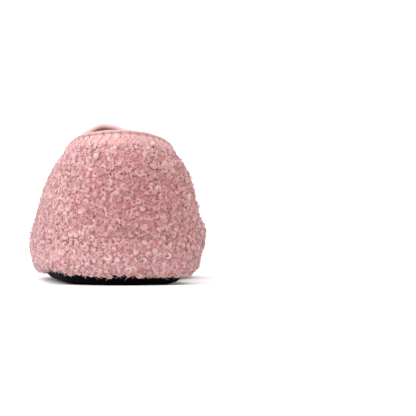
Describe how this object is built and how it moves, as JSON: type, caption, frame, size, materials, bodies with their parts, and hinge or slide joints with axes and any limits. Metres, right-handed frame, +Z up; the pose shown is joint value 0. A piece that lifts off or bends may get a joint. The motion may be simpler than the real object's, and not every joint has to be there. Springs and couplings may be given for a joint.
{
  "type": "fluffy house slipper",
  "caption": "Closed-back curly fleece house slipper for the left foot, with a bound and zigzag-stitched topline, lined upper, cushioned footbed and black rubber outsole.",
  "frame": {"origin": "middle of the slipper's bounding box in plan, at the ground under the outsole", "axes": "+X medial (the big-toe side of this left slipper), +Y from heel to toe, +Z up"},
  "size_m": [0.1056, 0.2638, 0.0907],
  "materials": {
    "fleece": "curly bouclé pile, matt",
    "lining": "short matt plush",
    "binding": "smooth knit binding, soft sheen",
    "thread": "polyester thread, slight sheen",
    "rubber": "matt, fine-grained",
    "foam": "matt foam",
    "board": "matt fibreboard",
    "stiffener": "matt stiffener sheet",
    "label": "woven satin tape"
  },
  "bodies": {
    "root": {"outsole": "rubber", "midsole": "foam", "insole_board": "board", "footbed_foam": "foam", "footbed_cover": "lining", "vamp_fleece": "fleece", "quarter_lateral_fleece": "fleece", "quarter_medial_fleece": "fleece", "vamp_lining": "lining", "quarter_lining": "lining", "heel_counter": "stiffener", "toe_puff": "stiffener", "collar_padding": "foam", "vamp_padding": "foam", "topline_binding": "binding", "binding_stitching": "thread", "size_label": "label"}
  },
  "joints": []
}
